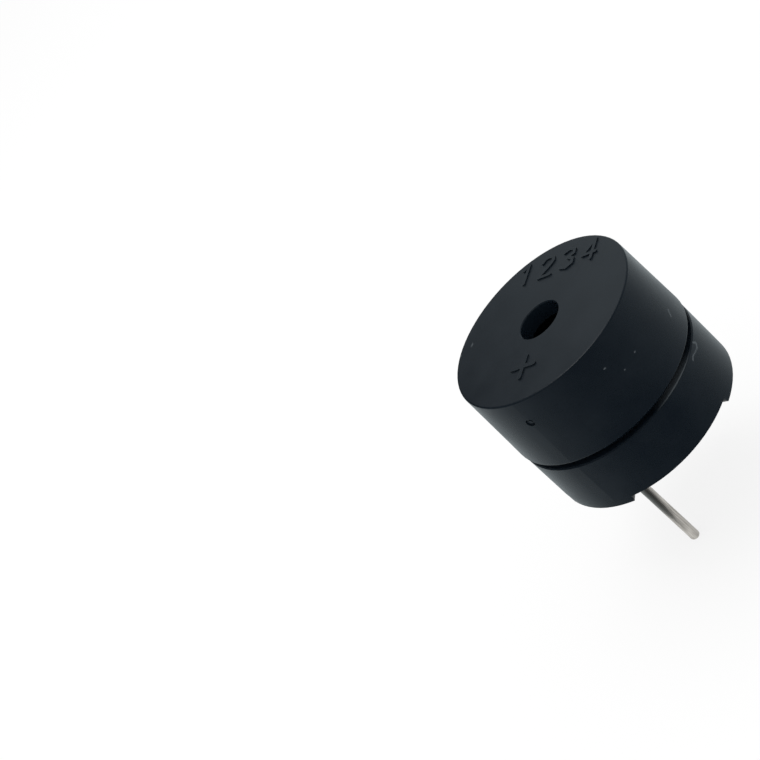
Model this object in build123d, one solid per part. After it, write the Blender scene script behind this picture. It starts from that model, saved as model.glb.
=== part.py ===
from build123d import *
import math
import os

os.makedirs("parts", exist_ok=True)

# Magnetic buzzer, 12 mm round body with two wire pins. Millimetres, +Z up.
# Origin: centre of the seat, the plane the three feet stand on. The pins lie on the X axis and
# point down, the long positive pin on +X. The sound hole faces +Z.

# ---- case, outside ----
body_height = 9.26          # seat plane to sound face
upper_radius_low = 6.00     # upper case at its lower edge
upper_radius_top = 5.80     # upper case at the sound face, after mould draft
upper_edge_z = 4.19         # lower edge of the upper case
shoulder_z = 3.79           # shoulder of the lower case, below the open seam
lower_radius_top = 5.94
lower_radius_low = 5.98
rim_z = 0.52                # open rim of the lower case between the feet
foot_arc = 46.8             # degrees covered by one foot
foot_starts = (-36.2, 83.8, 203.8)
foot_chamfer = 0.14
foot_end_radius = 0.34
face_edge_radius = 0.10
skirt_edge_radius = 0.14

# ---- case, inside ----
spigot_radius = 5.42        # lower case plugs into the upper case
spigot_top_z = 6.00
pocket_radius = 5.55        # yoke plate, board and potting sit in here
pocket_top_z = 3.15
magnet_bore_radius = 4.75
shelf_z = 5.35              # the diaphragm rests here
shelf_pocket_radius = 5.12
cavity_radius = 5.00
face_thickness = 1.00
hole_radius = 1.29
hole_edge = 0.05
gate_pit_radius = 0.26
gate_pit_depth = 0.10
gate_pit_z = 7.70

# ---- raised marks on the sound face ----
mark_height = 0.08
mark_stroke = 0.20
digit_height = 1.45
digit_pitch = 1.55
digits_x = -4.85            # the digits stand with their tops toward -X
plus_x = 3.30
plus_size = 1.50

# ---- magnet system ----
diaphragm_radius = 5.05
diaphragm_thickness = 0.08
armature_radius = 2.10
armature_thickness = 0.35
magnet_outer_radius = 4.70
magnet_inner_radius = 3.15
magnet_height = 1.80
core_radius = 0.95
core_stem_radius = 0.75
core_top_z = 5.10
yoke_thickness = 0.70
sleeve_wall = 0.10
washer_thickness = 0.08
winding_split_radius = 1.95
winding_radius = 2.65
winding_top_z = 4.85
lead_radius = 0.05
lead_x = (-0.80, 0.00, 0.80)
lead_ring_radius = 2.88
lead_slot = (2.30, 0.56)

# ---- board and its parts ----
board_radius = 5.30
board_thickness = 0.50
copper = 0.035
track_width = 0.30
pin_pitch = 7.60
pin_radius = 0.30
pin_root_radius = 0.36      # assumed: hidden root, a little thicker than the wire that shows
pin_root_z = 0.80
pin_tip_radius = 0.16
pin_head_radius = 0.50
pin_head = 0.20
positive_length = 6.20      # below the seat plane
negative_length = 4.90
pin_notch_radius = 0.75
transistor_at = (-0.80, -1.20)
transistor_size = (2.90, 1.30, 0.90)
leg_width = 0.40
leg_thickness = 0.12
leg_reach = 1.15
leg_spread = 0.95
resistor_at = (1.40, -1.20)
resistor_size = (0.80, 1.60, 0.45)
resistor_end = 0.30

# ---- potting ----
potting_z = 0.78
meniscus_z = 0.60
meniscus_width = 0.55
crater_radius = 0.95
crater_depth = 0.13
rim_dimples = (-2.0, 149.0)
rim_dimple_radius = 0.28
rim_dimple_ring = 5.02

board_top_z = pocket_top_z - yoke_thickness
board_low_z = board_top_z - board_thickness
solder_side_z = board_low_z - copper
winding_low_z = pocket_top_z + washer_thickness
pin_x = pin_pitch / 2


def disc(radius, z_low, z_high):
    """Plain cylinder on the Z axis between two heights."""
    return Pos(0, 0, (z_low + z_high) / 2) * Cylinder(radius, z_high - z_low)


def tube(outer, inner, z_low, z_high):
    return disc(outer, z_low, z_high) - disc(inner, z_low - 1, z_high + 1)


def turned(points, arc=360.0):
    """Solid of revolution about Z from a closed (radius, z) outline."""
    face = make_face(Plane.XZ * Polyline(*points, close=True))
    return revolve(face, axis=Axis.Z, revolution_arc=arc)


def polar(radius, degrees, z=0.0):
    angle = math.radians(degrees)
    return (radius * math.cos(angle), radius * math.sin(angle), z)


def bar(start, end, width, z_low, height):
    """Round-ended bar lying flat between two (x, y) points."""
    length = math.dist(start, end)
    angle = math.degrees(math.atan2(end[1] - start[1], end[0] - start[0]))
    middle = ((start[0] + end[0]) / 2, (start[1] + end[1]) / 2)
    slot = SlotCenterToCenter(length, width)
    return Pos(middle[0], middle[1], z_low) * Rot(0, 0, angle) * extrude(slot, height)


def bar_chain(points, width, z_low, height):
    """Flat round-ended bars joined end to end along a list of points."""
    chain = bar(points[0], points[1], width, z_low, height)
    for start, end in zip(points[1:], points[2:]):
        chain += bar(start, end, width, z_low, height)
    return chain


def as_group(solids):
    """Several separate solids of one kind kept as one node."""
    return Compound(children=list(solids))


# Strokes of the plain digits in a box one unit high and 0.62 wide, origin at the lower left.
digit_strokes = {
    "1": [[(0.12, 0.78), (0.34, 1.00), (0.34, 0.00)]],
    "2": [[(0.02, 0.78), (0.14, 0.96), (0.34, 1.00), (0.52, 0.92), (0.58, 0.74),
           (0.48, 0.54), (0.02, 0.00), (0.60, 0.00)]],
    "3": [[(0.04, 0.88), (0.28, 1.00), (0.52, 0.90), (0.54, 0.68), (0.28, 0.54),
           (0.56, 0.40), (0.58, 0.16), (0.34, 0.00), (0.02, 0.10)]],
    "4": [[(0.46, 0.00), (0.46, 1.00), (0.00, 0.30), (0.62, 0.30)]],
}


def face_digits():
    """Plain raised digits 1 to 4 along the rim opposite the positive pin."""
    marks = []
    for index, name in enumerate("1234"):
        y_left = (index - 2) * digit_pitch + 0.30 * digit_pitch / 1.2
        for stroke in digit_strokes[name]:
            points = []
            for across, up in stroke:
                points.append((digits_x + (1 - up) * digit_height, y_left + across * digit_height))
            marks.append(bar_chain(points, mark_stroke, body_height - 0.02, mark_height + 0.02))
    return marks


def face_plus():
    """Raised polarity cross over the positive pin."""
    low = body_height - 0.02
    half = plus_size / 2
    along = bar((plus_x - half, 0), (plus_x + half, 0), mark_stroke * 1.3, low, mark_height + 0.02)
    across = bar((plus_x, -half), (plus_x, half), mark_stroke * 1.3, low, mark_height + 0.02)
    return along + across


def upper_case():
    """Cap with the sound hole; its skirt slips over the spigot of the lower case."""
    ceiling_z = body_height - face_thickness
    cap = turned([
        (hole_radius, body_height), (upper_radius_top, body_height),
        (upper_radius_low, upper_edge_z), (spigot_radius, upper_edge_z),
        (spigot_radius, spigot_top_z), (cavity_radius, spigot_top_z),
        (cavity_radius, ceiling_z), (hole_radius, ceiling_z),
    ])
    rings = cap.edges().filter_by(GeomType.CIRCLE)
    rim = [e for e in rings if abs(e.radius - upper_radius_top) < 0.01]
    cap = fillet(rim, face_edge_radius)
    rings = cap.edges().filter_by(GeomType.CIRCLE)
    skirt = [e for e in rings if abs(e.radius - upper_radius_low) < 0.01]
    cap = fillet(skirt, skirt_edge_radius)
    rings = cap.edges().filter_by(GeomType.CIRCLE)
    mouth = [e for e in rings if abs(e.radius - hole_radius) < 0.01 and e.center().Z > ceiling_z + 0.1]
    cap = chamfer(mouth, hole_edge)
    wall = upper_radius_top + (body_height - gate_pit_z) * (upper_radius_low - upper_radius_top) / (
        body_height - upper_edge_z)
    pit = Pos(wall - gate_pit_depth + 0.5, 0, gate_pit_z) * Rot(0, 90, 0) * Cylinder(gate_pit_radius, 1.0)
    cap -= pit
    nub = Pos(wall - gate_pit_depth, 0, gate_pit_z) * Rot(0, 90, 0) * Cylinder(
        gate_pit_radius * 0.4, gate_pit_depth)
    cap += nub
    for mark in face_digits():
        cap += mark
    return cap + face_plus()


def lower_case():
    """Open ring with shelf and spigot, standing on three curved feet."""
    shell = turned([
        (pocket_radius, rim_z), (lower_radius_low, rim_z), (lower_radius_top, shoulder_z),
        (spigot_radius, shoulder_z), (spigot_radius, spigot_top_z),
        (shelf_pocket_radius, spigot_top_z), (shelf_pocket_radius, shelf_z),
        (magnet_bore_radius, shelf_z), (magnet_bore_radius, pocket_top_z),
        (pocket_radius, pocket_top_z),
    ])
    rings = shell.edges().filter_by(GeomType.CIRCLE)
    shoulder = [e for e in rings if abs(e.radius - lower_radius_top) < 0.005]
    shell = chamfer(shoulder, 0.07)
    foot = turned([
        (pocket_radius, 0), (lower_radius_low - foot_chamfer, 0), (lower_radius_low, foot_chamfer),
        (lower_radius_low, rim_z), (pocket_radius, rim_z),
    ], foot_arc)
    ends = [e for e in foot.edges() if abs(e.center().Z) < 1e-4 and e.geom_type == GeomType.LINE]
    foot = fillet(ends, foot_end_radius)
    for start in foot_starts:
        shell += Rot(0, 0, start) * foot
    return shell


def diaphragm():
    """Thin spring-steel disc held down on its shelf by the magnet."""
    return disc(diaphragm_radius, shelf_z, shelf_z + diaphragm_thickness)


def armature_disc():
    """Soft-iron weight welded on the middle of the diaphragm."""
    low = shelf_z + diaphragm_thickness
    plate = disc(armature_radius, low, low + armature_thickness)
    top = plate.edges().filter_by(GeomType.CIRCLE).sort_by(Axis.Z)[-1]
    return fillet(top, 0.08)


def ring_magnet():
    """Ring magnet glued on the yoke plate."""
    ring = tube(magnet_outer_radius, magnet_inner_radius, pocket_top_z, pocket_top_z + magnet_height)
    return chamfer(ring.edges().filter_by(GeomType.CIRCLE), 0.10)


def iron_core():
    """Pole pin riveted through the yoke plate."""
    return disc(core_radius, pocket_top_z, core_top_z) + disc(core_stem_radius, board_top_z, pocket_top_z)


def yoke_plate():
    """Steel plate pressed against the step of the lower case."""
    plate = disc(pocket_radius, board_top_z, pocket_top_z) - disc(core_stem_radius, 0, body_height)
    middle_z = (board_top_z + pocket_top_z) / 2
    for side in (-1, 1):
        notch = Pos(side * pin_x, 0, middle_z) * Cylinder(pin_notch_radius, 2)
        mouth = Pos(side * (pin_x + 1), 0, middle_z) * Box(2, 2 * pin_notch_radius, 2)
        plate -= notch + mouth
    slot = Pos(0, lead_ring_radius, middle_z) * Box(lead_slot[0], lead_slot[1], 2)
    return plate - slot


def coil_insulator():
    """Film sleeve and washer that keep the windings off the iron."""
    washer = disc(winding_radius, pocket_top_z, winding_low_z) - disc(core_radius, 0, body_height)
    return washer + tube(core_radius + sleeve_wall, core_radius, pocket_top_z, winding_top_z)


def winding(inner, outer):
    coil = tube(outer, inner, winding_low_z, winding_top_z)
    top = [e for e in coil.edges().filter_by(GeomType.CIRCLE)
           if e.center().Z > winding_top_z - 0.01 and abs(e.radius - outer) < 0.01]
    return fillet(top, 0.08)


def lead_y(x):
    return math.sqrt(lead_ring_radius ** 2 - x ** 2)


def coil_leads():
    """Three enamelled wire ends going down through the slot to the board."""
    wires = []
    end_z = solder_side_z - 0.16
    for index, x in enumerate(lead_x):
        y = lead_y(x)
        if index == 0:
            bend_z = winding_top_z + lead_radius
            path = FilletPolyline((x, 1.45, bend_z), (x, y, bend_z), (x, y, end_z), radius=0.12)
            start = Plane((x, 1.45, bend_z), z_dir=(0, 1, 0))
        else:
            bend_z = 3.80
            y_start = math.sqrt(winding_radius ** 2 - x ** 2) + 0.02
            path = FilletPolyline((x, y_start, bend_z), (x, y, bend_z), (x, y, end_z), radius=0.08)
            start = Plane((x, y_start, bend_z), z_dir=(0, 1, 0))
        wires.append(sweep(start * Circle(lead_radius), path))
    return as_group(wires)


def circuit_board():
    """Round board between the yoke plate and the potting."""
    board = disc(board_radius, board_low_z, board_top_z)
    for side in (-1, 1):
        board -= Pos(side * pin_x, 0, board_low_z) * Cylinder(pin_root_radius, 2)
    for x in lead_x:
        board -= Pos(x, lead_y(x), board_low_z) * Cylinder(lead_radius, 2)
    return board


def copper_tracks():
    """Five etched tracks on the underside of the board."""
    leads = [(x, lead_y(x)) for x in lead_x]
    collector = (transistor_at[0], transistor_at[1] + leg_reach)
    emitter = (transistor_at[0] - leg_spread, transistor_at[1] - leg_reach)
    base = (transistor_at[0] + leg_spread, transistor_at[1] - leg_reach)
    resistor_near = (resistor_at[0], resistor_at[1] - 0.65)
    resistor_far = (resistor_at[0], resistor_at[1] + 0.65)
    routes = [
        [(pin_x, 0), (3.2, 2.5), (1.5, 3.9), (0, 3.7), leads[1]],
        [leads[0], collector],
        [leads[2], (resistor_at[0], 2.0), resistor_far],
        [base, (resistor_at[0], base[1]), resistor_near],
        [emitter, (-pin_x, emitter[1] + 1.0), (-pin_x, 0)],
    ]
    tracks = []
    for index, route in enumerate(routes):
        track = bar_chain(route, track_width, solder_side_z, copper)
        for end in (route[0], route[-1]):
            radius = 0.30
            if abs(end[1]) < 1e-6:
                radius = 0.80
            track += Pos(end[0], end[1], solder_side_z + copper / 2) * Cylinder(radius, copper)
        for side in (-1, 1):
            track -= Pos(side * pin_x, 0, board_low_z) * Cylinder(pin_root_radius, 2)
        for x in lead_x:
            track -= Pos(x, lead_y(x), board_low_z) * Cylinder(lead_radius, 2)
        tracks.append(track)
    return as_group(tracks)


def transistor_body():
    """Small three-leg transistor on the underside of the board."""
    length, width, height = transistor_size
    z = solder_side_z - 0.05 - height / 2
    body = Pos(transistor_at[0], transistor_at[1], z) * Box(length, width, height)
    return chamfer(body.edges().filter_by(Axis.Z), 0.06)


def gull_leg(x, y_body, direction):
    """One bent leg from the side of the transistor to its track."""
    mid_z = solder_side_z - 0.50
    y_foot = y_body + direction * 0.20
    y_end = y_body + direction * 0.55
    out = Pos(x, (y_body + y_foot) / 2, mid_z) * Box(leg_width, 0.20, leg_thickness)
    rise_height = solder_side_z - mid_z + leg_thickness / 2
    rise = Pos(x, y_foot, mid_z - leg_thickness / 2 + rise_height / 2) * Box(
        leg_width, leg_thickness, rise_height)
    foot_y = (y_foot + y_end) / 2
    foot = Pos(x, foot_y, solder_side_z - leg_thickness / 2) * Box(
        leg_width, abs(y_end - y_foot), leg_thickness)
    return out + rise + foot


def transistor_legs():
    half = transistor_size[1] / 2
    x, y = transistor_at
    return as_group([
        gull_leg(x, y + half, 1),
        gull_leg(x - leg_spread, y - half, -1),
        gull_leg(x + leg_spread, y - half, -1),
    ])


def resistor_body():
    """Ceramic chip of the base resistor."""
    width, length, height = resistor_size
    z = solder_side_z - height / 2
    return Pos(resistor_at[0], resistor_at[1], z) * Box(width, length - 2 * resistor_end, height)


def resistor_ends():
    """Two tinned end caps of the chip resistor."""
    width, length, height = resistor_size
    caps = []
    for side in (-1, 1):
        y = resistor_at[1] + side * (length - resistor_end) / 2
        cap = Pos(resistor_at[0], y, solder_side_z - height / 2) * Box(width, resistor_end, height)
        outer = cap.edges().filter_by(Axis.X).sort_by(Axis.Y)
        keep = outer[-2:] if side > 0 else outer[:2]
        caps.append(fillet(keep, 0.05))
    return as_group(caps)


def wire_pin(x, length):
    """Round tinned pin: upset head on the board, thicker root in the resin, rounded tip."""
    pin = Pos(x, 0, 0) * disc(pin_radius, -length, pin_root_z)
    pin += Pos(x, 0, 0) * disc(pin_root_radius, pin_root_z, board_top_z)
    pin += Pos(x, 0, 0) * disc(pin_head_radius, board_top_z, board_top_z + pin_head)
    rings = pin.edges().filter_by(GeomType.CIRCLE).sort_by(Axis.Z)
    return fillet([rings[0]], pin_tip_radius)


def pin_solder():
    """Two solder cones where the pins leave the board."""
    cones = []
    for side in (-1, 1):
        cone = turned([
            (pin_root_radius, solder_side_z), (0.80, solder_side_z), (0.60, solder_side_z - 0.16),
            (0.47, solder_side_z - 0.42), (pin_root_radius, solder_side_z - 0.62),
        ])
        cones.append(Pos(side * pin_x, 0, 0) * cone)
    return as_group(cones)


def wire_solder():
    """Three small solder beads over the ends of the coil leads."""
    beads = []
    for x in lead_x:
        bead = turned([
            (0, solder_side_z), (0.27, solder_side_z), (0.22, solder_side_z - 0.13),
            (0.12, solder_side_z - 0.22), (0, solder_side_z - 0.24),
        ])
        wire = Pos(0, 0, solder_side_z - 0.08) * Cylinder(lead_radius, 0.16)
        beads.append(Pos(x, lead_y(x), 0) * (bead - wire))
    return as_group(beads)


def potting(embedded):
    """Cured resin that closes the underside, sunk a little below the rim."""
    flat_radius = pocket_radius - meniscus_width
    fill = turned([
        (0, board_top_z), (pocket_radius, board_top_z), (pocket_radius, meniscus_z),
        (pocket_radius - 0.10, meniscus_z + 0.07), (pocket_radius - 0.28, potting_z - 0.04),
        (flat_radius, potting_z), (0, potting_z),
    ])
    deep = potting_z + crater_depth
    crater = turned([
        (0, 0), (crater_radius, 0), (crater_radius, potting_z), (crater_radius * 0.72, deep),
        (crater_radius * 0.55, deep), (pin_radius, potting_z - 0.04), (0, potting_z - 0.04),
    ])
    for side in (-1, 1):
        fill -= Pos(side * pin_x, 0, 0) * crater
    for degrees in rim_dimples:
        fill -= Pos(*polar(rim_dimple_ring, degrees, potting_z - 0.06)) * Sphere(rim_dimple_radius)
    for piece in embedded:
        fill -= piece
    return fill


nodes = {
    "upper_case": upper_case(),
    "lower_case": lower_case(),
    "diaphragm": diaphragm(),
    "armature_disc": armature_disc(),
    "ring_magnet": ring_magnet(),
    "iron_core": iron_core(),
    "yoke_plate": yoke_plate(),
    "coil_insulator": coil_insulator(),
    "drive_winding": winding(core_radius + sleeve_wall, winding_split_radius),
    "feedback_winding": winding(winding_split_radius, winding_radius),
    "coil_leads": coil_leads(),
    "circuit_board": circuit_board(),
    "copper_tracks": copper_tracks(),
    "transistor_body": transistor_body(),
    "transistor_legs": transistor_legs(),
    "resistor_body": resistor_body(),
    "resistor_ends": resistor_ends(),
    "positive_pin": wire_pin(pin_x, positive_length),
    "negative_pin": wire_pin(-pin_x, negative_length),
    "pin_solder": pin_solder(),
    "wire_solder": wire_solder(),
}
in_resin = [
    "circuit_board", "copper_tracks", "transistor_body", "transistor_legs", "resistor_body",
    "resistor_ends", "positive_pin", "negative_pin", "pin_solder", "wire_solder", "coil_leads",
]
embedded_solids = []
for name in in_resin:
    embedded_solids.extend(nodes[name].solids())
nodes["potting"] = potting(embedded_solids)

for name, shape in nodes.items():
    export_step(shape, "parts/" + name + ".step")
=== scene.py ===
import math

import bmesh
import bpy
from mathutils import Matrix, Vector, noise


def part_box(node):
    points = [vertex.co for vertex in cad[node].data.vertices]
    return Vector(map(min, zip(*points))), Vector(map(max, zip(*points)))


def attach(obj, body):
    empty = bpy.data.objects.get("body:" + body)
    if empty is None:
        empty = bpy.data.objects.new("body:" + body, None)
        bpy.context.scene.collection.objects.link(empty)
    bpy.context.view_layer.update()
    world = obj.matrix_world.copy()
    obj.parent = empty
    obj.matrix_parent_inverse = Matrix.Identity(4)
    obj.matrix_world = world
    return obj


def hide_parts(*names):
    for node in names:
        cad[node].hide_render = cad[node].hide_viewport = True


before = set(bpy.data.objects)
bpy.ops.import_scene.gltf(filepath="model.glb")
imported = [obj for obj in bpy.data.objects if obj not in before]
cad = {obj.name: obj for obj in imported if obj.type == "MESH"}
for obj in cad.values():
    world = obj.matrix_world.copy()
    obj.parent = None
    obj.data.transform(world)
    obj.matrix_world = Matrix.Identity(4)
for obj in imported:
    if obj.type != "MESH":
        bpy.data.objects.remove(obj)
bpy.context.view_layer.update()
MM = 0.001

# ---------------------------------------------------------------- lower case
# The ring that the magnet, coil and board are stacked in. Black moulded plastic,
# with three curved feet left round its open rim.


def node(tree, kind, feeds=None, **settings):
    """One shader or geometry node, its settings made and its inputs fed or set."""
    made = tree.nodes.new(kind)
    for name, value in settings.items():
        setattr(made, name, value)
    for key, value in (feeds or {}).items():
        if isinstance(value, bpy.types.NodeSocket):
            tree.links.new(value, made.inputs[key])
        else:
            made.inputs[key].default_value = value
    return made


def sockets(tree, ins, outs):
    """Named sockets on a group, and the two ends to wire to."""
    for name, kind, value in ins:
        made = tree.interface.new_socket(name, in_out="INPUT", socket_type=kind)
        if value is not None:
            made.default_value = value
    for name, kind in outs:
        tree.interface.new_socket(name, in_out="OUTPUT", socket_type=kind)
    return tree.nodes.new("NodeGroupInput"), tree.nodes.new("NodeGroupOutput")


def math_node(tree, operation, a, b=0.0, clamp=False):
    return node(tree, "ShaderNodeMath", {0: a, 1: b}, operation=operation, use_clamp=clamp).outputs[0]


def blend_color(tree, factor, a, b):
    """Colour a where the factor is 0 and colour b where it is 1."""
    mix = node(tree, "ShaderNodeMix", data_type="RGBA")
    for socket, value in ((mix.inputs[0], factor), (mix.inputs[6], a), (mix.inputs[7], b)):
        if isinstance(value, bpy.types.NodeSocket):
            tree.links.new(value, socket)
        else:
            socket.default_value = value
    return mix.outputs[2]


def make_moulded_skin():
    """Cloudy colour, uneven gloss and fine grain of a moulded or cast surface."""
    tree = bpy.data.node_groups.new("moulded_skin", "ShaderNodeTree")
    start, end = sockets(
        tree,
        [("Deep", "NodeSocketColor", None), ("Pale", "NodeSocketColor", None),
         ("Cloud Scale", "NodeSocketFloat", 500.0), ("Grain Scale", "NodeSocketFloat", 9000.0),
         ("Polished", "NodeSocketFloat", 0.3), ("Dull", "NodeSocketFloat", 0.5)],
        [("Color", "NodeSocketColor"), ("Roughness", "NodeSocketFloat"),
         ("Height", "NodeSocketFloat")],
    )
    place = node(tree, "ShaderNodeTexCoord").outputs["Object"]
    cloud = node(tree, "ShaderNodeTexNoise", {
        "Vector": place, "Scale": start.outputs["Cloud Scale"], "Detail": 3.0, "Roughness": 0.55})
    grain = node(tree, "ShaderNodeTexNoise", {
        "Vector": place, "Scale": start.outputs["Grain Scale"], "Detail": 2.0, "Roughness": 0.6})
    spread = node(tree, "ShaderNodeMapRange", {
        "Value": cloud.outputs["Fac"], "From Min": 0.3, "From Max": 0.7}).outputs["Result"]
    color = blend_color(tree, spread, start.outputs["Deep"], start.outputs["Pale"])
    gloss = node(tree, "ShaderNodeMapRange", {
        "Value": math_node(tree, "ADD", cloud.outputs["Fac"],
                           math_node(tree, "MULTIPLY", grain.outputs["Fac"], 0.35)),
        "From Min": 0.4, "From Max": 0.95,
        "To Min": start.outputs["Polished"], "To Max": start.outputs["Dull"]})
    tree.links.new(color, end.inputs["Color"])
    tree.links.new(gloss.outputs["Result"], end.inputs["Roughness"])
    tree.links.new(grain.outputs["Fac"], end.inputs["Height"])
    return tree


def make_edge_rub():
    """Mask of the outer edges that handling rubs, broken up so that it isn't a line."""
    tree = bpy.data.node_groups.new("edge_rub", "ShaderNodeTree")
    start, end = sockets(
        tree,
        [("Width", "NodeSocketFloat", 0.00008), ("Gain", "NodeSocketFloat", 3.0),
         ("Patch Scale", "NodeSocketFloat", 2500.0)],
        [("Mask", "NodeSocketFloat")],
    )
    rounded = node(tree, "ShaderNodeBevel", {"Radius": start.outputs["Width"]}, samples=4)
    flat = node(tree, "ShaderNodeNewGeometry").outputs["Normal"]
    facing = node(tree, "ShaderNodeVectorMath", {0: rounded.outputs["Normal"], 1: flat},
                  operation="DOT_PRODUCT").outputs["Value"]
    turned = math_node(tree, "MULTIPLY", math_node(tree, "SUBTRACT", 1.0, facing),
                       start.outputs["Gain"])
    place = node(tree, "ShaderNodeTexCoord").outputs["Object"]
    patch = node(tree, "ShaderNodeTexNoise", {
        "Vector": place, "Scale": start.outputs["Patch Scale"], "Detail": 2.0})
    broken = math_node(tree, "MULTIPLY", turned, patch.outputs["Fac"], clamp=True)
    tree.links.new(broken, end.inputs["Mask"])
    return tree


def make_nick():
    """Mask of one small scratch or speck, ragged, round a place on the piece."""
    tree = bpy.data.node_groups.new("nick", "ShaderNodeTree")
    start, end = sockets(
        tree,
        [("Place", "NodeSocketVector", None), ("Half Size", "NodeSocketVector", None)],
        [("Mask", "NodeSocketFloat")],
    )
    place = node(tree, "ShaderNodeTexCoord").outputs["Object"]
    away = node(tree, "ShaderNodeVectorMath", {0: place, 1: start.outputs["Place"]},
                operation="SUBTRACT").outputs["Vector"]
    scaled = node(tree, "ShaderNodeVectorMath", {0: away, 1: start.outputs["Half Size"]},
                  operation="DIVIDE").outputs["Vector"]
    distance = node(tree, "ShaderNodeVectorMath", {0: scaled}, operation="LENGTH").outputs["Value"]
    rag = node(tree, "ShaderNodeTexNoise", {"Vector": place, "Scale": 9000.0, "Detail": 1.0})
    ragged = math_node(tree, "ADD", distance, math_node(tree, "MULTIPLY", rag.outputs["Fac"], 0.9))
    mask = node(tree, "ShaderNodeMapRange", {
        "Value": ragged, "From Min": 0.8, "From Max": 1.4, "To Min": 1.0, "To Max": 0.0})
    tree.links.new(mask.outputs["Result"], end.inputs["Mask"])
    return tree


moulded_skin, edge_rub, nick = make_moulded_skin(), make_edge_rub(), make_nick()


def blank_material(name, **shader):
    """A material with its Principled shader's constant sockets set."""
    made = bpy.data.materials.new(name)
    made.use_nodes = True
    surface = made.node_tree.nodes["Principled BSDF"]
    for socket, value in shader.items():
        surface.inputs[socket.replace("_", " ")].default_value = value
    return made, made.node_tree, surface


def on_case(azimuth, z, radius):
    """A place on a round wall, in metres, from its angle in degrees and its height in mm."""
    turn = math.radians(azimuth)
    return (radius * math.cos(turn) * MM, radius * math.sin(turn) * MM, z * MM)


def line_round_case(tree, z, half_height, middle, half_arc):
    """Mask of a thin line round the wall at height z mm, over part of the turn in degrees."""
    split = node(tree, "ShaderNodeSeparateXYZ", {
        0: node(tree, "ShaderNodeTexCoord").outputs["Object"]}).outputs
    lift = math_node(tree, "ABSOLUTE", math_node(tree, "SUBTRACT", split["Z"], z * MM))
    thin = node(tree, "ShaderNodeMapRange", {
        "Value": lift, "From Min": half_height * MM * 0.4, "From Max": half_height * MM,
        "To Min": 1.0, "To Max": 0.0}).outputs["Result"]
    turn = math_node(tree, "ARCTAN2", split["Y"], split["X"])
    off = math_node(tree, "ABSOLUTE", math_node(tree, "SUBTRACT", turn, math.radians(middle)))
    along = node(tree, "ShaderNodeMapRange", {
        "Value": off, "From Min": math.radians(half_arc) * 0.3, "From Max": math.radians(half_arc),
        "To Min": 1.0, "To Max": 0.0}).outputs["Result"]
    return math_node(tree, "MULTIPLY", thin, along)


# Pale colour and strength for rubbed edges, nicks and scratches on the case, and for its painted
# highlight line.
WEAR_AND_HIGHLIGHT_PALE, WEAR_AND_HIGHLIGHT_STRENGTH = (0.085, 0.098, 0.108, 1), 0.75
FACE_MATT = 0.08            # how much rougher the sound face is than the drawn sides


def case_wear_and_highlight(tree, nicks, rub_gain, painted_highlight_line):
    """Mask of everything that shows pale on the case: rubbed edges, nicks, and one painted highlight line
    where an edge catches the light.
    """
    rub = node(tree, "ShaderNodeGroup", node_tree=edge_rub)
    rub.inputs["Width"].default_value = 0.00006
    rub.inputs["Gain"].default_value = rub_gain
    worn = rub.outputs["Mask"]
    for place, half in nicks:
        mark = node(tree, "ShaderNodeGroup", node_tree=nick)
        mark.inputs["Place"].default_value = place
        mark.inputs["Half Size"].default_value = half
        worn = math_node(tree, "MAXIMUM", worn, mark.outputs["Mask"])
    # The thin pale line round the wall is a painted highlight, where an edge catches the light.
    return math_node(tree, "MAXIMUM", worn, line_round_case(tree, *painted_highlight_line))


def case_material(name, nicks, rub_gain, painted_highlight_line):
    """Black moulded plastic: matt where a face looks up, glossier on the drawn sides."""
    made, tree, surface = blank_material(name, Metallic=0.0, IOR=1.50, Specular_IOR_Level=0.35)
    skin = node(tree, "ShaderNodeGroup", node_tree=moulded_skin)
    for key, value in (("Deep", (0.0042, 0.0080, 0.0130, 1)), ("Pale", (0.0066, 0.0118, 0.0180, 1)),
                       ("Cloud Scale", 420.0), ("Grain Scale", 11000.0),
                       ("Polished", 0.22), ("Dull", 0.34)):
        skin.inputs[key].default_value = value
    worn = case_wear_and_highlight(tree, nicks, rub_gain, painted_highlight_line)
    # Paler where the case is rubbed or nicked, and along the painted highlight line.
    wear_and_highlight_color = blend_color(tree, math_node(tree, "MULTIPLY", worn, WEAR_AND_HIGHLIGHT_STRENGTH),
                             skin.outputs["Color"], WEAR_AND_HIGHLIGHT_PALE)
    up = node(tree, "ShaderNodeSeparateXYZ", {
        0: node(tree, "ShaderNodeNewGeometry").outputs["Normal"]}).outputs["Z"]
    face = node(tree, "ShaderNodeMapRange", {
        "Value": up, "From Min": 0.7, "From Max": 0.95}).outputs["Result"]
    matt = math_node(tree, "ADD", skin.outputs["Roughness"], math_node(tree, "MULTIPLY", face, FACE_MATT))
    bump = node(tree, "ShaderNodeBump", {
        "Strength": 0.35, "Distance": 0.000012, "Height": skin.outputs["Height"]})
    tree.links.new(wear_and_highlight_color, surface.inputs["Base Color"])
    tree.links.new(matt, surface.inputs["Roughness"])
    tree.links.new(bump.outputs["Normal"], surface.inputs["Normal"])
    return made


def dress(name, material):
    """Gives a carried CAD piece its finish."""
    for held in cad[name].material_slots:
        held.link = "OBJECT"
        held.material = material


def scratch(corners, radius, spots, half_width):
    """Spots along a bent scratch on the wall; corners are (degrees, height in mm)."""
    chain = []
    for (turn_a, z_a), (turn_b, z_b) in zip(corners, corners[1:]):
        for i in range(spots):
            t = (i + 0.5) / spots
            chain.append((on_case(turn_a + (turn_b - turn_a) * t, z_a + (z_b - z_a) * t, radius),
                          (half_width * MM,) * 3))
    return chain


curved_scratch = scratch([(97.0, 3.70), (99.0, 3.435), (96.1, 3.32), (89.3, 3.50), (87.0, 3.41)],
                         5.955, 5, 0.085)
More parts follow.
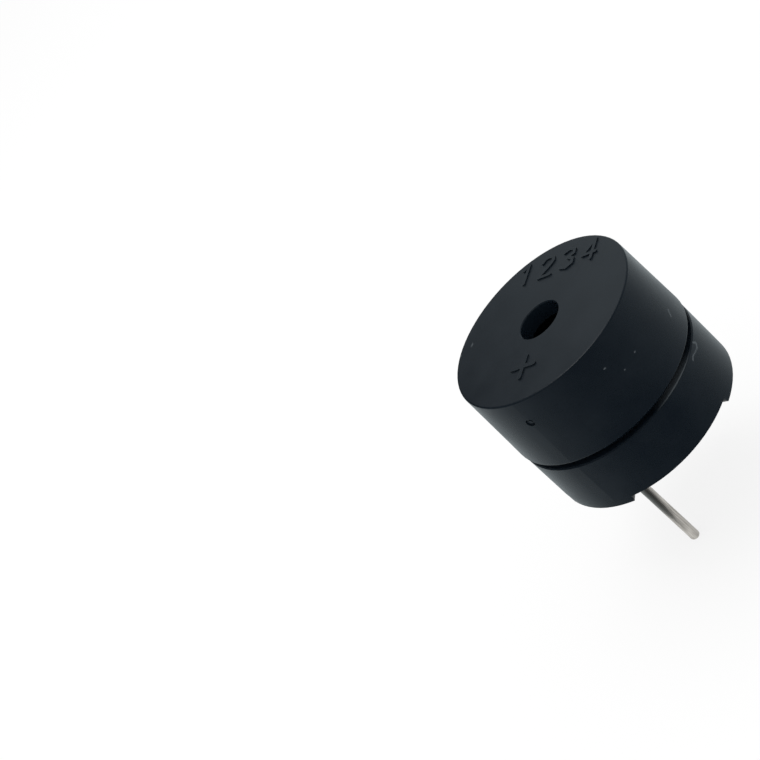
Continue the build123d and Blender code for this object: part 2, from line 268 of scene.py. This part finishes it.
# The pale line given last is a painted highlight along the ring's shoulder edge, over the arc where it
# catches the light.
dress("lower_case", case_material("ring_plastic", curved_scratch, 0.4,
                                  (3.77, 0.035, 72.0, 20.0)))

# ---------------------------------------------------------------- yoke plate
# Round plate of low-carbon steel that closes the magnetic path. It is punched,
# zinc plated, and pressed against the step in the lower case.


def make_worked_metal():
    """Streaks and dull patches of a metal that was drawn, turned or rolled."""
    tree = bpy.data.node_groups.new("worked_metal", "ShaderNodeTree")
    start, end = sockets(
        tree,
        [("Deep", "NodeSocketColor", None), ("Bright", "NodeSocketColor", None),
         ("Streak", "NodeSocketVector", None), ("Patch Scale", "NodeSocketFloat", 700.0),
         ("Polished", "NodeSocketFloat", 0.25), ("Dull", "NodeSocketFloat", 0.5)],
        [("Color", "NodeSocketColor"), ("Roughness", "NodeSocketFloat"),
         ("Height", "NodeSocketFloat")],
    )
    place = node(tree, "ShaderNodeTexCoord").outputs["Object"]
    along = node(tree, "ShaderNodeVectorMath", {0: place, 1: start.outputs["Streak"]},
                 operation="MULTIPLY").outputs["Vector"]
    streak = node(tree, "ShaderNodeTexNoise", {"Vector": along, "Scale": 1.0, "Detail": 3.0})
    patch = node(tree, "ShaderNodeTexNoise", {
        "Vector": place, "Scale": start.outputs["Patch Scale"], "Detail": 3.0})
    total = math_node(tree, "ADD", math_node(tree, "MULTIPLY", streak.outputs["Fac"], 0.6),
                      math_node(tree, "MULTIPLY", patch.outputs["Fac"], 0.4))
    spread = node(tree, "ShaderNodeMapRange", {
        "Value": total, "From Min": 0.35, "From Max": 0.65}).outputs["Result"]
    color = blend_color(tree, spread, start.outputs["Deep"], start.outputs["Bright"])
    gloss = node(tree, "ShaderNodeMapRange", {
        "Value": total, "From Min": 0.35, "From Max": 0.65,
        "To Min": start.outputs["Dull"], "To Max": start.outputs["Polished"]})
    tree.links.new(color, end.inputs["Color"])
    tree.links.new(gloss.outputs["Result"], end.inputs["Roughness"])
    tree.links.new(streak.outputs["Fac"], end.inputs["Height"])
    return tree


worked_metal = make_worked_metal()


def metal_material(name, deep, bright, streak, polished=0.25, dull=0.45, depth=0.000004):
    """A metal with its grain: streak says how fine the lines are along X, Y and Z."""
    made, tree, surface = blank_material(name, Metallic=1.0)
    worked = node(tree, "ShaderNodeGroup", node_tree=worked_metal)
    for key, value in (("Deep", (*deep, 1)), ("Bright", (*bright, 1)), ("Streak", streak),
                       ("Polished", polished), ("Dull", dull)):
        worked.inputs[key].default_value = value
    rub = node(tree, "ShaderNodeGroup", node_tree=edge_rub)
    rub.inputs["Width"].default_value = 0.00004
    worn = blend_color(tree, math_node(tree, "MULTIPLY", rub.outputs["Mask"], 0.6),
                       worked.outputs["Color"], tuple(min(1, c * 1.25) for c in bright) + (1,))
    bump = node(tree, "ShaderNodeBump", {
        "Strength": 0.5, "Distance": depth, "Height": worked.outputs["Height"]})
    tree.links.new(worn, surface.inputs["Base Color"])
    tree.links.new(worked.outputs["Roughness"], surface.inputs["Roughness"])
    tree.links.new(bump.outputs["Normal"], surface.inputs["Normal"])
    return made


dress("yoke_plate", metal_material("zinc_plate", (0.42, 0.43, 0.42), (0.62, 0.63, 0.61),
                                   (700.0, 9000.0, 700.0)))

# ----------------------------------------------------------------- iron core
# Turned soft-iron pole in the middle of the coil. Its stem is riveted through
# the yoke plate; the turning tool leaves rings round it.

dress("iron_core", metal_material("turned_iron", (0.30, 0.29, 0.28), (0.50, 0.49, 0.47),
                                  (900.0, 900.0, 22000.0), 0.22, 0.4))

# --------------------------------------------------------------- ring magnet
# Pressed and sintered ferrite ring, dark grey and slightly porous, held on the
# yoke plate by its own pull and a film of glue.


def moulded_material(name, deep, pale, cloud, grain, polished, dull, depth, worn, **shader):
    """A dull moulded, pressed or woven stock with rubbed edges."""
    made, tree, surface = blank_material(name, Metallic=0.0, **shader)
    skin = node(tree, "ShaderNodeGroup", node_tree=moulded_skin)
    for key, value in (("Deep", (*deep, 1)), ("Pale", (*pale, 1)), ("Cloud Scale", cloud),
                       ("Grain Scale", grain), ("Polished", polished), ("Dull", dull)):
        skin.inputs[key].default_value = value
    rub = node(tree, "ShaderNodeGroup", node_tree=edge_rub)
    color = blend_color(tree, math_node(tree, "MULTIPLY", rub.outputs["Mask"], 0.5),
                        skin.outputs["Color"], (*worn, 1))
    bump = node(tree, "ShaderNodeBump", {
        "Strength": 0.5, "Distance": depth, "Height": skin.outputs["Height"]})
    tree.links.new(color, surface.inputs["Base Color"])
    tree.links.new(skin.outputs["Roughness"], surface.inputs["Roughness"])
    tree.links.new(bump.outputs["Normal"], surface.inputs["Normal"])
    return made


dress("ring_magnet", moulded_material("sintered_ferrite", (0.020, 0.019, 0.019), (0.045, 0.042, 0.040),
                                      1500.0, 16000.0, 0.5, 0.75, 0.00002, (0.11, 0.10, 0.10)))

# -------------------------------------------------------------- coil insulator
# Amber film: a washer on the yoke plate and a sleeve round the core, which keep
# the enamelled wire off bare iron.

dress("coil_insulator", moulded_material("amber_film", (0.42, 0.17, 0.03), (0.56, 0.25, 0.05),
                                         600.0, 8000.0, 0.18, 0.32, 0.000003, (0.66, 0.36, 0.12)))

# ------------------------------------------------------------------ windings
# Two coils of enamelled copper wire on one core, laid back and forth in layers:
# the drive winding inside, and the feedback winding, paler enamel, over it.

WIRE_THICKNESS = 0.09
TURN_STEPS = 40


def make_wound_wire():
    """One wire wound to and fro: radius grows by a layer each time it turns back."""
    tree = bpy.data.node_groups.new("wound_wire", "GeometryNodeTree")
    tree.interface.new_socket("Geometry", in_out="OUTPUT", socket_type="NodeSocketGeometry")
    start, end = sockets(
        tree,
        [("Inner Radius", "NodeSocketFloat", 0.001), ("Layer Pitch", "NodeSocketFloat", 0.00009),
         ("Low", "NodeSocketFloat", 0.003), ("Travel", "NodeSocketFloat", 0.0015),
         ("Turns A Layer", "NodeSocketFloat", 18.0), ("Points", "NodeSocketInt", 5000),
         ("Wire Radius", "NodeSocketFloat", 0.00004), ("Material", "NodeSocketMaterial", None)],
        [],
    )
    given = start.outputs
    line = node(tree, "GeometryNodeCurvePrimitiveLine", {"End": (0, 0, 1)})
    path = node(tree, "GeometryNodeResampleCurve", {
        "Curve": line.outputs["Curve"], "Count": given["Points"]})
    turn = math_node(tree, "DIVIDE", node(tree, "GeometryNodeInputIndex").outputs[0],
                     float(TURN_STEPS))
    layer = math_node(tree, "FLOOR", math_node(tree, "DIVIDE", turn, given["Turns A Layer"]))
    radius = math_node(tree, "ADD", given["Inner Radius"],
                       math_node(tree, "MULTIPLY", layer, given["Layer Pitch"]))
    climb = math_node(tree, "DIVIDE", math_node(tree, "PINGPONG", turn, given["Turns A Layer"]),
                      given["Turns A Layer"])
    height = math_node(tree, "ADD", given["Low"], math_node(tree, "MULTIPLY", climb, given["Travel"]))
    angle = math_node(tree, "MULTIPLY", turn, math.tau)
    spot = node(tree, "ShaderNodeCombineXYZ", {
        0: math_node(tree, "MULTIPLY", radius, math_node(tree, "COSINE", angle)),
        1: math_node(tree, "MULTIPLY", radius, math_node(tree, "SINE", angle)), 2: height})
    wound = node(tree, "GeometryNodeSetPosition", {
        "Geometry": path.outputs["Curve"], "Position": spot.outputs["Vector"]})
    section = node(tree, "GeometryNodeCurvePrimitiveCircle", {
        "Resolution": 5, "Radius": given["Wire Radius"]})
    wire = node(tree, "GeometryNodeCurveToMesh", {
        "Curve": wound.outputs["Geometry"], "Profile Curve": section.outputs["Curve"],
        "Fill Caps": True})
    smooth = node(tree, "GeometryNodeSetShadeSmooth", {"Geometry": wire.outputs["Mesh"]})
    real = node(tree, "GeometryNodeRealizeInstances", {"Geometry": smooth.outputs["Geometry"]})
    painted = node(tree, "GeometryNodeSetMaterial", {
        "Geometry": real.outputs["Geometry"], "Material": given["Material"]})
    tree.links.new(painted.outputs["Geometry"], end.inputs["Geometry"])
    return tree


wound_wire = make_wound_wire()


def new_piece(name, mesh):
    made = bpy.data.objects.new(name, mesh)
    bpy.context.scene.collection.objects.link(made)
    return made


def grown(name, tree, material, inputs):
    """Runs a geometry tree, keeps its result as a plain mesh, and drops the modifier."""
    source = new_piece(name + "_source", bpy.data.meshes.new(name + "_source"))
    grow = source.modifiers.new("grow", "NODES")
    grow.node_group = tree
    by_name = {item.name: item.identifier for item in tree.interface.items_tree
               if item.in_out == "INPUT"}
    grow[by_name["Material"]] = material
    for key, value in inputs.items():
        grow[by_name[key]] = value
    ready = source.evaluated_get(bpy.context.evaluated_depsgraph_get())
    mesh = bpy.data.meshes.new_from_object(ready)
    mesh.name = name
    bpy.data.objects.remove(source)
    return new_piece(name, mesh)


def winding(name, inner, outer, node_name, material):
    """Fills the coil's own space, from the inner to the outer radius, with real turns."""
    low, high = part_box(node_name)[0].z / MM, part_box(node_name)[1].z / MM
    layers = int((outer - inner) / WIRE_THICKNESS)
    turns = int((high - low) / WIRE_THICKNESS) - 1
    pitch = (outer - inner) / layers
    wire = grown(name, wound_wire, material, {
        "Inner Radius": (inner + pitch / 2) * MM, "Layer Pitch": pitch * MM,
        "Low": (low + WIRE_THICKNESS / 2) * MM, "Travel": (high - low - WIRE_THICKNESS) * MM,
        "Turns A Layer": float(turns), "Points": layers * turns * TURN_STEPS,
        "Wire Radius": WIRE_THICKNESS * 0.47 * MM})
    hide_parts(node_name)
    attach(wire, "root")


def enamel_material(name, deep, bright):
    """Copper seen through clear enamel."""
    made, tree, surface = blank_material(name, Metallic=1.0, Coat_Roughness=0.12)
    worked = node(tree, "ShaderNodeGroup", node_tree=worked_metal)
    for key, value in (("Deep", (*deep, 1)), ("Bright", (*bright, 1)),
                       ("Streak", (4000.0, 4000.0, 9000.0)), ("Polished", 0.2), ("Dull", 0.38)):
        worked.inputs[key].default_value = value
    bump = node(tree, "ShaderNodeBump", {
        "Strength": 0.3, "Distance": 0.000002, "Height": worked.outputs["Height"]})
    coat = math_node(tree, "ADD", 0.4, math_node(tree, "MULTIPLY", worked.outputs["Height"], 0.5))
    tree.links.new(worked.outputs["Color"], surface.inputs["Base Color"])
    tree.links.new(worked.outputs["Roughness"], surface.inputs["Roughness"])
    tree.links.new(coat, surface.inputs["Coat Weight"])
    tree.links.new(bump.outputs["Normal"], surface.inputs["Normal"])
    return made


CORE_SIDE, SPLIT, COIL_SIDE = 1.03, 1.95, 2.65
winding("drive_turns", CORE_SIDE, SPLIT, "drive_winding",
        enamel_material("red_enamel", (0.42, 0.13, 0.06), (0.66, 0.24, 0.11)))
winding("feedback_turns", SPLIT, COIL_SIDE, "feedback_winding",
        enamel_material("gold_enamel", (0.58, 0.27, 0.08), (0.80, 0.42, 0.16)))

# ---------------------------------------------------------------- coil leads
# The three ends of the coil wire, which run down the plate's slot to the board.
# They keep their enamel up to the solder.

dress("coil_leads", enamel_material("lead_enamel", (0.50, 0.20, 0.08), (0.74, 0.36, 0.15)))

# ----------------------------------------------------------------- diaphragm
# Thin spring-steel disc, blanked from rolled strip, that rests on the shelf of
# the lower case. The soft-iron weight spot-welded on it is pulled by the core.

dress("diaphragm", metal_material("rolled_spring_steel", (0.50, 0.50, 0.49), (0.70, 0.70, 0.68),
                                  (500.0, 14000.0, 500.0), 0.15, 0.3))
# The weight's iron is given darker than bare iron: painted shade for the cavity it sits in under the
# sound hole.
dress("armature_disc", metal_material("punched_iron", (0.23, 0.22, 0.215), (0.31, 0.30, 0.29),
                                      (3000.0, 12000.0, 3000.0), 0.38, 0.52))

# ---------------------------------------------------------------- upper case
# The cap, with the sound hole and raised marks. Same black plastic, a sliding
# fit over the ring's spigot; its face is matt from the spark-cut mould.

cap_nicks = [
    (on_case(49.7, 7.82, 5.86), (0.00010, 0.00010, 0.00006)),
    (on_case(56.2, 6.88, 5.90), (0.00007, 0.00007, 0.00006)),
    (on_case(66.4, 7.01, 5.89), (0.00008, 0.00008, 0.00006)),
    ((0.00004, -0.00499, 0.00926), (0.00022, 0.00009, 0.00006)),
    ((0.00063, -0.00563, 0.00926), (0.00012, 0.00008, 0.00006)),
]
short_scratch = scratch([(99.3, 5.64), (102.7, 5.94)], 5.93, 5, 0.085)
# The pale line given last is a painted highlight along the cap's lower edge, over the arc where it
# catches the light.
dress("upper_case", case_material("cap_plastic", cap_nicks + short_scratch, 1.2,
                                  (4.21, 0.035, 98.0, 16.0)))

# --------------------------------------------------------------- circuit board
# Round glass-epoxy board with five etched tracks on its lower side. It carries
# the driver and its base resistor, and both pins are soldered to it.

dress("circuit_board", moulded_material("glass_epoxy", (0.055, 0.10, 0.035), (0.085, 0.15, 0.055),
                                        900.0, 7000.0, 0.35, 0.55, 0.000006, (0.30, 0.30, 0.18)))
dress("copper_tracks", metal_material("etched_copper", (0.58, 0.26, 0.13), (0.78, 0.40, 0.24),
                                      (5000.0, 5000.0, 5000.0), 0.28, 0.5))

# ------------------------------------------------------ driver and resistor
# A transistor in a black moulded body on three tinned legs, and a ceramic chip
# resistor with tinned end caps, both reflow soldered on the tracks.

dress("transistor_body", moulded_material("chip_moulding", (0.012, 0.012, 0.013), (0.026, 0.026, 0.027),
                                          2500.0, 22000.0, 0.45, 0.65, 0.000006, (0.08, 0.08, 0.08)))
dress("transistor_legs", metal_material("tinned_leg", (0.52, 0.52, 0.51), (0.72, 0.72, 0.70),
                                        (3000.0, 9000.0, 3000.0)))
dress("resistor_body", moulded_material("white_ceramic", (0.66, 0.66, 0.63), (0.78, 0.78, 0.75),
                                        2500.0, 18000.0, 0.4, 0.6, 0.000005, (0.86, 0.86, 0.84)))
dress("resistor_ends", metal_material("tinned_cap", (0.50, 0.50, 0.50), (0.70, 0.70, 0.69),
                                      (5000.0, 5000.0, 5000.0), 0.3, 0.55))

# ---------------------------------------------------------------------- pins
# Two drawn wires, tinned, headed over on the board. The longer is positive.
# Drawing leaves fine lines along them and the tin is a little patchy.

for pin in ("positive_pin", "negative_pin"):
    dress(pin, metal_material(pin + "_tin", (0.34, 0.325, 0.30), (0.62, 0.60, 0.56),
                              (14000.0, 14000.0, 900.0), 0.24, 0.42, 0.000008))

# -------------------------------------------------------------------- solder
# Tin-silver solder: a cone up each pin and a small bead on each coil lead. It
# cools with a bright, slightly frosted skin.

for joint in ("pin_solder", "wire_solder"):
    dress(joint, metal_material(joint + "_tin", (0.56, 0.56, 0.56), (0.78, 0.78, 0.77),
                                (3500.0, 3500.0, 3500.0), 0.18, 0.42))

# --------------------------------------------------------------------- resin
# Black epoxy poured in over the board until it closes the open end. It wets the
# wall, sinks round each pin, and sets glossy with slow waves in its surface.

RESIN_RADIUS, RESIN_LEVEL, RESIN_WALL, RESIN_TOP = 5.55, 0.78, 0.60, 2.45
WETTED = 0.55               # width in mm of the band drawn out along the wall
SLOW_WAVE, QUICK_WAVE = 0.075, 0.022
PIN_X, CRATER, CRATER_DEPTH, PIN_WALL = 3.8, 0.95, 0.13, 0.30
DIMPLES, DIMPLE_RING, DIMPLE = (-2.0, 149.0), 5.02, 0.28
RESIN_RINGS, RESIN_SECTORS = 84, 240


def ease(t):
    t = max(0.0, min(1.0, t))
    return t * t * (3 - 2 * t)


def resin_height(x, y):
    """Height of the set surface in mm; the resin is above it and open air below."""
    radius = math.hypot(x, y)
    z = RESIN_LEVEL - (RESIN_LEVEL - RESIN_WALL) * ease((radius - RESIN_RADIUS + WETTED) / WETTED) ** 2
    calm = ease((RESIN_RADIUS - radius) / 1.2)
    for side in (-1, 1):
        away = math.hypot(x - side * PIN_X, y)
        calm *= ease((away - CRATER * 0.7) / 0.8)
        sunk = ease((CRATER - away) / (CRATER * 0.35))
        wick = ease((PIN_WALL + 0.24 - away) / 0.24)
        z += CRATER_DEPTH * sunk - (CRATER_DEPTH + 0.04) * wick
    for degrees in DIMPLES:
        at = math.radians(degrees)
        away = math.hypot(x - DIMPLE_RING * math.cos(at), y - DIMPLE_RING * math.sin(at))
        z += 0.18 * ease((DIMPLE - away) / DIMPLE)
    slow = noise.noise(Vector((x * 0.42 + 3.1, y * 0.75 + 7.4, 0.5)))
    quick = noise.noise(Vector((x * 1.05 + 11.0, y * 1.3 + 2.0, 4.2)))
    return z + calm * (SLOW_WAVE * slow + QUICK_WAVE * quick)


def resin_mesh():
    """Closed plug: the waved lower surface, the wall, and the flat top on the plate."""
    plug = bmesh.new()
    rings = []
    for i in range(1, RESIN_RINGS + 1):
        radius = RESIN_RADIUS * i / RESIN_RINGS
        ring = []
        for k in range(RESIN_SECTORS):
            turn = math.tau * k / RESIN_SECTORS
            x, y = radius * math.cos(turn), radius * math.sin(turn)
            ring.append(plug.verts.new((x * MM, y * MM, resin_height(x, y) * MM)))
        rings.append(ring)
    top = [plug.verts.new((v.co.x, v.co.y, RESIN_TOP * MM)) for v in rings[-1]]
    rings.append(top)
    middle = plug.verts.new((0, 0, resin_height(0, 0) * MM))
    for k in range(RESIN_SECTORS):
        n = (k + 1) % RESIN_SECTORS
        plug.faces.new((middle, rings[0][n], rings[0][k])).smooth = True
        for inner, outer in zip(rings, rings[1:]):
            plug.faces.new((inner[k], inner[n], outer[n], outer[k])).smooth = True
    plug.faces.new(top)
    for edge in plug.edges:
        if len(edge.link_faces) == 2 and edge.calc_face_angle(0) > math.radians(50):
            edge.smooth = False
    mesh = bpy.data.meshes.new("resin_plug")
    plug.to_mesh(mesh)
    plug.free()
    return mesh


def resin_material():
    made, tree, surface = blank_material("black_resin", Metallic=0.0, IOR=1.55)
    skin = node(tree, "ShaderNodeGroup", node_tree=moulded_skin)
    for key, value in (("Deep", (0.006, 0.009, 0.010, 1)), ("Pale", (0.011, 0.016, 0.017, 1)),
                       ("Cloud Scale", 260.0), ("Grain Scale", 5200.0),
                       ("Polished", 0.03), ("Dull", 0.11)):
        skin.inputs[key].default_value = value
    bump = node(tree, "ShaderNodeBump", {
        "Strength": 0.12, "Distance": 0.000006, "Height": skin.outputs["Height"]})
    tree.links.new(skin.outputs["Color"], surface.inputs["Base Color"])
    tree.links.new(skin.outputs["Roughness"], surface.inputs["Roughness"])
    tree.links.new(bump.outputs["Normal"], surface.inputs["Normal"])
    return made


resin = new_piece("resin_plug", resin_mesh())
resin.data.materials.append(resin_material())
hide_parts("potting")
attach(resin, "root")

# ------------------------------------------------------------- floor and light
# A pale sweep that the long pin's tip just meets, a large soft lamp overhead,
# and an even white room. It is open from below, so the underside can be seen.

FLOOR_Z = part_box("positive_pin")[0].z
FLOOR_HALF = 3.0

floor_mesh = bpy.data.meshes.new("floor")
floor_mesh.from_pydata(
    [(-FLOOR_HALF, -FLOOR_HALF, FLOOR_Z), (FLOOR_HALF, -FLOOR_HALF, FLOOR_Z),
     (FLOOR_HALF, FLOOR_HALF, FLOOR_Z), (-FLOOR_HALF, FLOOR_HALF, FLOOR_Z)], [], [(0, 1, 2, 3)])
floor = new_piece("floor", floor_mesh)


def floor_material():
    """Pale card that takes the shadow, lifted towards white as a backdrop."""
    made = bpy.data.materials.new("pale_card")
    made.use_nodes = True
    tree = made.node_tree
    tree.nodes.clear()
    card = node(tree, "ShaderNodeBsdfDiffuse", {"Color": (0.95, 0.95, 0.95, 1)})
    lift = node(tree, "ShaderNodeEmission", {"Color": (1, 1, 1, 1), "Strength": 1.0})
    path = node(tree, "ShaderNodeLightPath").outputs
    seen = math_node(tree, "MAXIMUM", path["Is Camera Ray"],
                     math_node(tree, "MAXIMUM", path["Is Glossy Ray"], path["Is Transmission Ray"]))
    lifted = node(tree, "ShaderNodeMixShader", {
        0: math_node(tree, "MULTIPLY", seen, 0.80), 1: card.outputs[0], 2: lift.outputs[0]})
    clear = node(tree, "ShaderNodeBsdfTransparent")
    back = node(tree, "ShaderNodeNewGeometry").outputs["Backfacing"]
    shown = node(tree, "ShaderNodeMixShader", {0: back, 1: lifted.outputs[0], 2: clear.outputs[0]})
    out = node(tree, "ShaderNodeOutputMaterial")
    tree.links.new(shown.outputs[0], out.inputs["Surface"])
    return made


floor.data.materials.append(floor_material())

room = bpy.data.worlds.new("white_room")
room.use_nodes = True
room_tree = room.node_tree
room_path = node(room_tree, "ShaderNodeLightPath").outputs
room_seen = math_node(room_tree, "MAXIMUM", room_path["Is Camera Ray"],
                      math_node(room_tree, "MAXIMUM", room_path["Is Glossy Ray"],
                                room_path["Is Transmission Ray"]))
room_level = math_node(room_tree, "ADD", 0.90, math_node(room_tree, "MULTIPLY", room_seen, 0.10))
backdrop = room_tree.nodes["Background"]
backdrop.inputs["Color"].default_value = (1, 1, 1, 1)
room_tree.links.new(room_level, backdrop.inputs["Strength"])
bpy.context.scene.world = room

LOOK_BACK = Vector((0.56162, 0.70083, 0.43980))
LOOK_RIGHT = Vector((-0.30261, 0.66871, -0.67916))
LOOK_UP = Vector((-0.77007, 0.24834, 0.58763))


def soft_lamp(name, towards, distance, size, watts):
    lamp = bpy.data.lights.new(name, "AREA")
    lamp.shape, lamp.size, lamp.energy = "DISK", size, watts
    made = new_piece(name, lamp)
    made.location = towards.normalized() * distance
    made.rotation_mode = "QUATERNION"
    made.rotation_quaternion = (-towards).to_track_quat("-Z", "Y")


soft_lamp("overhead", Vector((-0.3, -0.2, 1.0)), 0.30, 0.22, 0.25)

# Glowing cards round the table, seen only in reflections: black plastic shows its shape by what it
# mirrors.
# Their glow is painted light and shade: black on the near side, growing paler towards the far side.

CARD_RADIUS, CARD_LOW, CARD_HIGH = 0.07, math.radians(-85), math.radians(72)
CARD_STEPS, CARD_TURNS = 24, 72
LOW_SHADES = ((-180, 0.70), (-150, 0.62), (-110, 0.50), (-80, 0.28), (-32, 0.04), (22, 0.04),
              (75, 0.34), (115, 0.55), (150, 0.72), (180, 0.70))
HIGH_SHADES = ((-180, 0.16), (-166, 0.02), (-45, 0.02), (45, 0.02), (110, 0.30), (162, 0.52),
               (180, 0.16))


def shade_at(shades, off):
    for (a, low), (b, high) in zip(shades, shades[1:]):
        if off <= b:
            return low + (high - low) * (off - a) / (b - a)
    return shades[-1][1]


def card_shade(off, rise):
    """Glow of a card, by its angle in degrees round from the near side and its height."""
    up = max(0.0, min(1.0, (math.degrees(rise) + 5) / 15))
    return shade_at(LOW_SHADES, off) * (1 - up) + shade_at(HIGH_SHADES, off) * up


def card_mesh():
    """A curved wall, part of a ball, resting on the floor, with its glow on each corner."""
    facing = math.atan2(LOOK_BACK.y, LOOK_BACK.x)
    spots, greys, faces = [], [], []
    for i in range(CARD_STEPS + 1):
        rise = CARD_LOW + (CARD_HIGH - CARD_LOW) * i / CARD_STEPS
        for k in range(CARD_TURNS + 1):
            off = -180 + 360 * k / CARD_TURNS
            turn = facing + math.radians(off)
            spots.append((CARD_RADIUS * math.cos(rise) * math.cos(turn),
                          CARD_RADIUS * math.cos(rise) * math.sin(turn),
                          max(CARD_RADIUS * math.sin(rise), FLOOR_Z + 0.0004)))
            greys.append(card_shade(off, rise))
    wide = CARD_TURNS + 1
    for i in range(CARD_STEPS):
        for k in range(CARD_TURNS):
            first = i * wide + k
            faces.append((first, first + wide, first + wide + 1, first + 1))
    mesh = bpy.data.meshes.new("glowing_cards")
    mesh.from_pydata(spots, [], faces)
    grey = mesh.attributes.new("grey", "FLOAT", "POINT")
    grey.data.foreach_set("value", greys)
    return mesh


cards = new_piece("glowing_cards", card_mesh())
reflection_glow = bpy.data.materials.new("reflection_glow")
reflection_glow.use_nodes = True
card_tree = reflection_glow.node_tree
card_tree.nodes.clear()
card_grey = node(card_tree, "ShaderNodeAttribute", attribute_name="grey").outputs["Fac"]
card_glow = node(card_tree, "ShaderNodeEmission", {
    "Color": (0.86, 0.96, 1.0, 1), "Strength": card_grey})
card_tree.links.new(card_glow.outputs[0],
                    node(card_tree, "ShaderNodeOutputMaterial").inputs["Surface"])
cards.data.materials.append(reflection_glow)
# The cards glow but light nothing and cast no shadow: they show only in reflections.
for ray in ("camera", "diffuse", "shadow", "transmission"):
    setattr(cards, "visible_" + ray, False)

# --------------------------------------------------------------------- camera
# A short telephoto lens, close in and rolled well away from level.

lens = bpy.data.cameras.new("camera")
lens.lens, lens.sensor_width = 71.97, 36.0
lens.clip_start, lens.clip_end = 0.001, 20.0
camera = new_piece("camera", lens)
turned = Matrix((LOOK_RIGHT, LOOK_UP, LOOK_BACK)).transposed()
camera.matrix_world = Matrix.Translation((0.050488, 0.050258, 0.048710)) @ turned.to_4x4()
bpy.context.scene.camera = camera
bpy.context.scene.view_settings.view_transform = "Standard"
